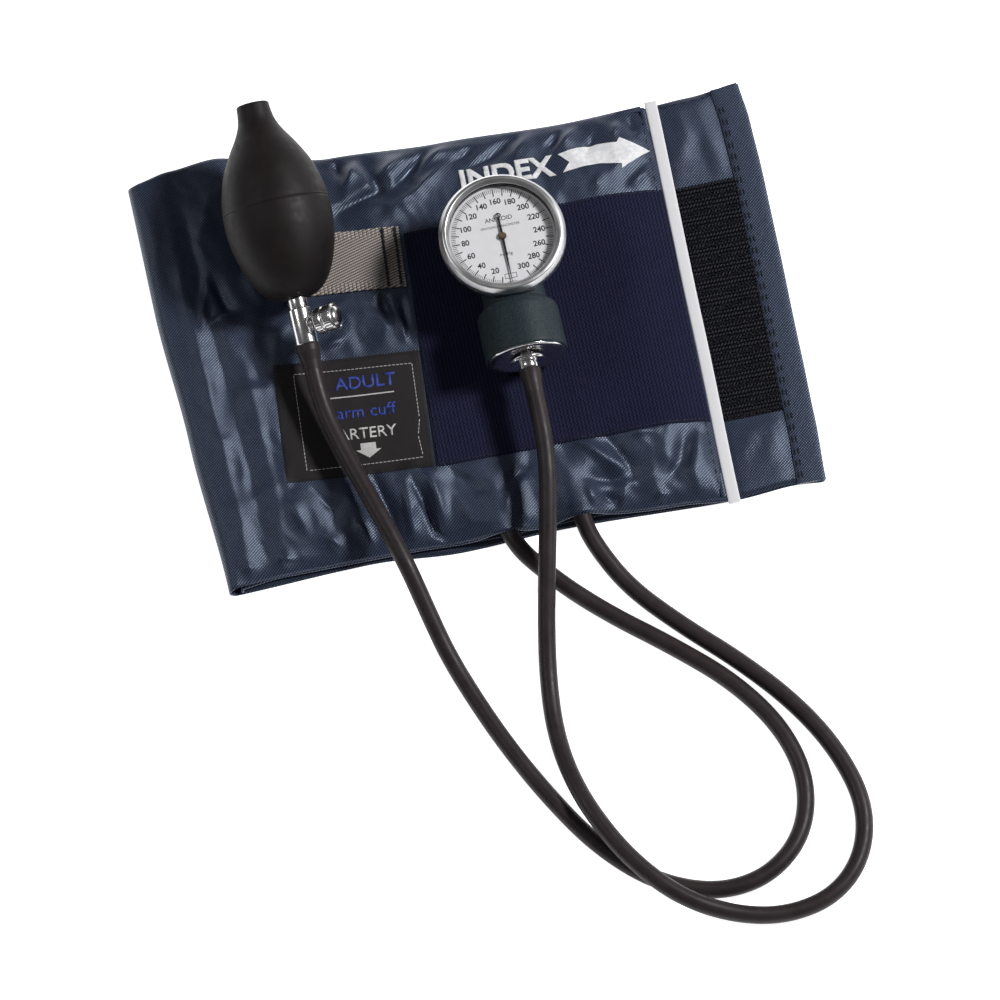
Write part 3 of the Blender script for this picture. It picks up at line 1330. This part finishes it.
def build_valve():
    """Chrome barrel, its side boss with a fine thread, and its collar."""
    barrel = rounded_profile([
        (3.0, -28.0), (3.0, SHOULDER), (4.6, SHOULDER, 0.5), (4.6, BARREL_END, 0.6), (2.4, BARREL_END),
        (2.4, BARB_END), (1.0, BARB_END), (1.0, -28.0),
    ])
    body = turned("release_valve_barrel", barrel, BULB_PLACE, 96, "chrome", "valve_chrome",
                  "release_valve_body", closed=True)
    boss = [(1.7, 4.0), (1.7, 5.6), (2.45, 5.6)]
    for turn in range(4):
        low = 5.35 - turn * THREAD_PITCH
        boss += [(2.9, low), (2.9, low - 0.18), (2.62, low - 0.3), (2.62, low - 0.38)]
    boss += [(2.62, 2.6), (1.7, 2.6)]
    turned("release_valve_boss", boss, KNOB_PLACE, 64, "chrome", "valve_chrome", closed=True).parent = body
    collar = [(3.0, SHOULDER), (3.85, SHOULDER, 0.3), (3.85, BULB_FOOT, 0.4), (3.0, BULB_FOOT)]
    turned("valve_collar", rounded_profile(collar, 4), BULB_PLACE, 72, "chrome", "valve_chrome",
           "valve_collar_ring", closed=True)


def build_knob():
    """The thumb knob, with two knurled bands and a domed cap, and its needle screw."""
    bands = ((7.6, 10.4), (11.6, 14.9))

    def knurl(angle, radius, height):
        inside = any(low < height < high for low, high in bands) and radius > 5.0
        return radius - 0.07 * abs(math.sin(18 * angle)) if inside else radius

    knob = [(0.0, 11.05), (1.6, 11.05), (1.6, 7.0), (4.6, 7.0), (5.15, 7.3), (5.35, 7.55)]
    for low, high in bands:
        knob += [(5.42, low + 0.05 + (high - low - 0.1) * step / 6) for step in range(7)]
        if low < 9:
            knob += [(5.3, 10.5), (4.85, 10.7), (4.8, 11.3), (5.3, 11.5)]
    knob += [(5.3, 15.05), (5.0, 15.4), (4.5, 15.5), (4.25, 15.35), (4.1, 15.3)]
    knob += [(4.0, 15.75), (3.7, 16.15), (3.2, 16.5), (2.4, 16.8), (1.2, 17.0), (0.0, 17.05)]
    turned("thumb_knob", knob, KNOB_PLACE, 288, "chrome", "valve_chrome", "release_knob", "knob",
           ripple=knurl)
    screw = [(0.0, 1.95), (0.3, 1.95), (1.0, 2.4), (1.45, 3.6)]
    for turn in range(7):
        low = 3.7 + turn * THREAD_PITCH
        screw += [(1.6, low), (1.6, low + 0.12), (1.4, low + 0.25), (1.4, low + 0.37)]
    screw += [(1.55, 7.4), (1.55, 11.0), (0.0, 11.0)]
    turned("needle_screw", screw, KNOB_PLACE, 48, "brass", "brass", "release_needle", "knob")


def build_tube_end(name, node, place, end, *swelling):
    """A tube's stretched mouth over its barb, tapering through (radius, distance, arc) to the tube."""
    taper = [(radius, end - away, arc) for radius, away, arc in swelling]
    cup = [(2.4, end), *taper, (TUBE_DIAMETER / MM / 2, end - 10.0), (0.0, end - 10.0), (0.0, end - 9.0),
           (2.4, end - 9.0)]
    turned(name, rounded_profile(cup, 6), place, 72, "tube_rubber", "tube_rubber", node)


# ---------------------------------------------------------------- gauge

DIAL_CENTRE = mm(13.8, 18.9, 12.4)
DIAL_PLACE = Matrix.Translation(DIAL_CENTRE)
STEM_PLACE = Matrix.Translation(mm(13.8, 18.9, 28.5)) @ Matrix.Rotation(math.radians(-90), 4, "X")
DIAL_FACE = 39.5
NIPPLE_END = -52.3
DEGREES_PER_MMHG = 1.125


def soften(mesh, voxel, passes):
    """Melts overlapping closed shapes into one casting with rounded inner corners."""
    cast = settled(mesh, ("REMESH", {"mode": "VOXEL", "voxel_size": voxel * MM}),
                   ("SMOOTH", {"factor": 0.5, "iterations": passes}))
    cast.polygons.foreach_set("use_smooth", [True] * len(cast.polygons))
    return cast


def joined(meshes):
    """One mesh of them all."""
    work = bmesh.new()
    for mesh in meshes:
        work.from_mesh(mesh)
    both = bpy.data.meshes.new("joined")
    work.to_mesh(both)
    work.free()
    return both


def hollowed(mesh, tools):
    """The mesh less each closed tool mesh."""
    cutters = [bpy.data.objects.new("cutter", tool) for tool in tools]
    for cutter in cutters:
        bpy.context.scene.collection.objects.link(cutter)
    left = settled(mesh, *[("BOOLEAN", {"operation": "DIFFERENCE", "object": cutter}) for cutter in cutters])
    for cutter in cutters:
        bpy.data.objects.remove(cutter)
    return left


def build_case():
    """The enamelled casting: the dial's cup, the bellows' housing and the neck between, hollow inside."""
    cup = [(0, 3.6), (14.2, 3.6), (16.6, 4.6), (19.0, 7.2), (20.6, 11.0), (21.8, 17.0), (22.8, 24.0),
           (23.0, 26.3), (0, 26.3)]
    housing = rounded_profile([(0, -47.0), (16.35, -47.0, 0.6), (16.0, -25.8, 4.2), (0, -25.8)], 8)
    neck = [(0, -28), (12.6, -28), (12.2, -14), (0, -14)]
    cast = soften(joined([lathe("cup", cup, DIAL_PLACE, 120), lathe("housing", housing, STEM_PLACE, 120),
                          lathe("neck", neck, STEM_PLACE, 90)]), 0.5, 8)
    above = [(0, 25.05), (25.5, 25.05), (25.5, 40), (0, 40)]
    cup_air = [(0, 5.2), (14, 5.2), (18.3, 9.5), (21.2, 25.0), (21.2, 30), (0, 30)]
    bellows_air = [(0, -50), (15.5, -50), (15.5, -45.9), (14.5, -45.8), (14.5, -27.3), (0, -27.3)]
    passage = [(0, -30), (5, -30), (5, -10), (0, -10)]
    tools = [lathe("above", above, DIAL_PLACE, 120), lathe("cup_air", cup_air, DIAL_PLACE, 96),
             lathe("bellows_air", bellows_air, STEM_PLACE, 96), lathe("passage", passage, STEM_PLACE, 48)]
    rim = [(21.2, 25.05), (22.9, 25.05), (22.9, 26.5), (21.2, 26.5)]
    casting = joined([hollowed(cast, tools), lathe("rim", rim, DIAL_PLACE, 120, closed=True)])
    casting.polygons.foreach_set("use_smooth", [True] * len(casting.polygons))
    casting.set_sharp_from_angle(angle=math.radians(50))
    piece("gauge_casting", casting, "enamel", replaces=["gauge_case"])


def build_bezel():
    """The rolled chrome ring and the lens that it holds."""
    ring = rounded_profile([
        (22.95, 25.1), (24.3, 25.1, 0.3), (24.85, 26.0, 0.6), (24.95, 29.6, 2.0), (23.6, 32.35, 1.3),
        (22.3, 32.5, 0.5), (21.2, 31.6, 0.4), (20.9, 31.3), (20.9, 30.7), (22.95, 30.7),
    ], 6)
    turned("bezel_ring", ring, DIAL_PLACE, 180, "bezel_chrome", "bezel_chrome", "gauge_bezel", closed=True)
    lens = [(0, 29.1), (22.6, 29.1), (22.6, 30.0, 0.3), (20.6, 30.55), (12, 30.75), (0, 30.8)]
    turned("lens_disc", rounded_profile(lens, 4), DIAL_PLACE, 120, "glass", "lens_glass", "gauge_lens")


def dial_spot(pressure, radius):
    """Where a pressure stands on the dial: zero straight down, clockwise from there."""
    turn = math.radians(pressure * DEGREES_PER_MMHG)
    return DIAL_CENTRE.x / MM - radius * math.sin(turn), DIAL_CENTRE.y / MM - radius * math.cos(turn)


def tick(inner, outer, width):
    return flat_shape([(-width / 2, inner), (width / 2, inner), (width / 2, outer), (-width / 2, outer)])


def build_dial_print():
    """The dial's scale in mmHg, the box at zero and the generic words."""
    centre = x, y = DIAL_CENTRE.x / MM, DIAL_CENTRE.y / MM
    long_ticks, short_ticks, numbers = [], [], []
    for pressure in range(10, 302, 2):
        turn = math.pi - math.radians(pressure * DEGREES_PER_MMHG)
        if pressure % 10 == 0:
            long_ticks.append((tick(16.9, 20.0, 0.4), centre, turn))
        else:
            short_ticks.append((tick(18.3, 20.0, 0.2), centre, turn))
        if pressure % 20 == 0:
            numbers.append((flat_text(str(pressure), 3.15, 0.07), dial_spot(pressure, 14.7), 0.0))
    bars = [(-2.4, -1.05, 2.4, -0.85), (-2.4, 0.85, 2.4, 1.05), (-2.4, -0.85, -2.2, 0.85),
            (2.2, -0.85, 2.4, 0.85)]
    box = [(flat_shape([(a, b), (c, b), (c, d), (a, d)]), (x, y - 16.6), 0.0) for a, b, c, d in bars]
    words = [(flat_text(text, size, weight), (x, y + up), 0.0) for text, size, weight, up in (
        ("mmHg", 1.5, 0.0, -19.2), ("ANEROID", 2.5, 0.02, 7.4), ("SPHYGMOMANOMETER", 1.45, 0.0, 4.3),
        ("mmHg", 1.9, 0.0, -7.4))]
    for name, prints, finish in (("dial_long_marks", long_ticks, "dial_black"),
                                 ("dial_short_marks", short_ticks, "dial_grey"),
                                 ("dial_numbers", numbers, "dial_black"),
                                 ("dial_zero_box", box, "dial_black"),
                                 ("dial_words", words, "dial_grey")):
        lay_print(name, prints, lambda x, y: DIAL_FACE, finish, 0.04)


def build_stem():
    """The chrome base disc, its washer and the ribbed nipple that the tube is pushed on."""
    disc = rounded_profile([(0, -45.9), (15.3, -45.9, 0.2), (15.35, -47.55, 0.7), (13.0, -47.7, 0.6),
                            (9.4, -47.2, 1.5), (0, -47.2)], 5)
    turned("base_disc", disc, STEM_PLACE, 140, "chrome", "bezel_chrome", "gauge_base")
    washer = rounded_profile([(2.8, -48.1), (6.6, -48.1, 0.3), (7.05, -48.8, 0.5), (6.6, -49.4, 0.3),
                              (2.8, -49.4)], 4)
    turned("stem_washer_ring", washer, STEM_PLACE, 96, "chrome", "bezel_chrome", "stem_washer", closed=True)
    nipple = [(0, -47.1), (2.8, -47.1), (2.8, -49.3), (3.9, -49.4), (4.0, -49.9), (3.55, -50.1),
              (3.55, -50.4), (3.85, -50.6), (3.85, -51.9), (3.6, NIPPLE_END + 0.05), (2.4, NIPPLE_END),
              (2.4, -61.2), (0, -61.2)]
    turned("stem_nipple", nipple, STEM_PLACE, 72, "chrome", "bezel_chrome", "gauge_stem")


build_camera()
build_stage()
build_tube("bulb_tube_line", "bulb_tube", BULB_TUBE_ROUTE)
build_tube("gauge_tube_line", "gauge_tube", GAUGE_TUBE_ROUTE)
dress_nodes()
cloth_surface = build_cloth()
on_cloth = top_of(cloth_surface, otherwise=5.0)
build_bulb()
build_valve()
build_knob()
build_tube_end("bulb_tube_cuff", "bulb_tube_end", BULB_PLACE, BARREL_END,
               (4.75, 0, 0.5), (4.75, 2.6, 1.6), (3.9, 6.5, 4))
build_lining()
build_hems()
build_tapes(on_cloth)
build_strap(on_cloth)
build_label(on_cloth)
build_bladder(on_cloth)
build_index_print(on_cloth)
build_seams(top_of(cloth_surface, otherwise=4.0))
build_case()
build_bezel()
build_dial_print()
build_stem()
build_tube_end("gauge_tube_cuff", "gauge_tube_end", STEM_PLACE, NIPPLE_END,
               (4.25, 0, 0.5), (4.2, 3.0, 2), (3.7, 6.5, 4))
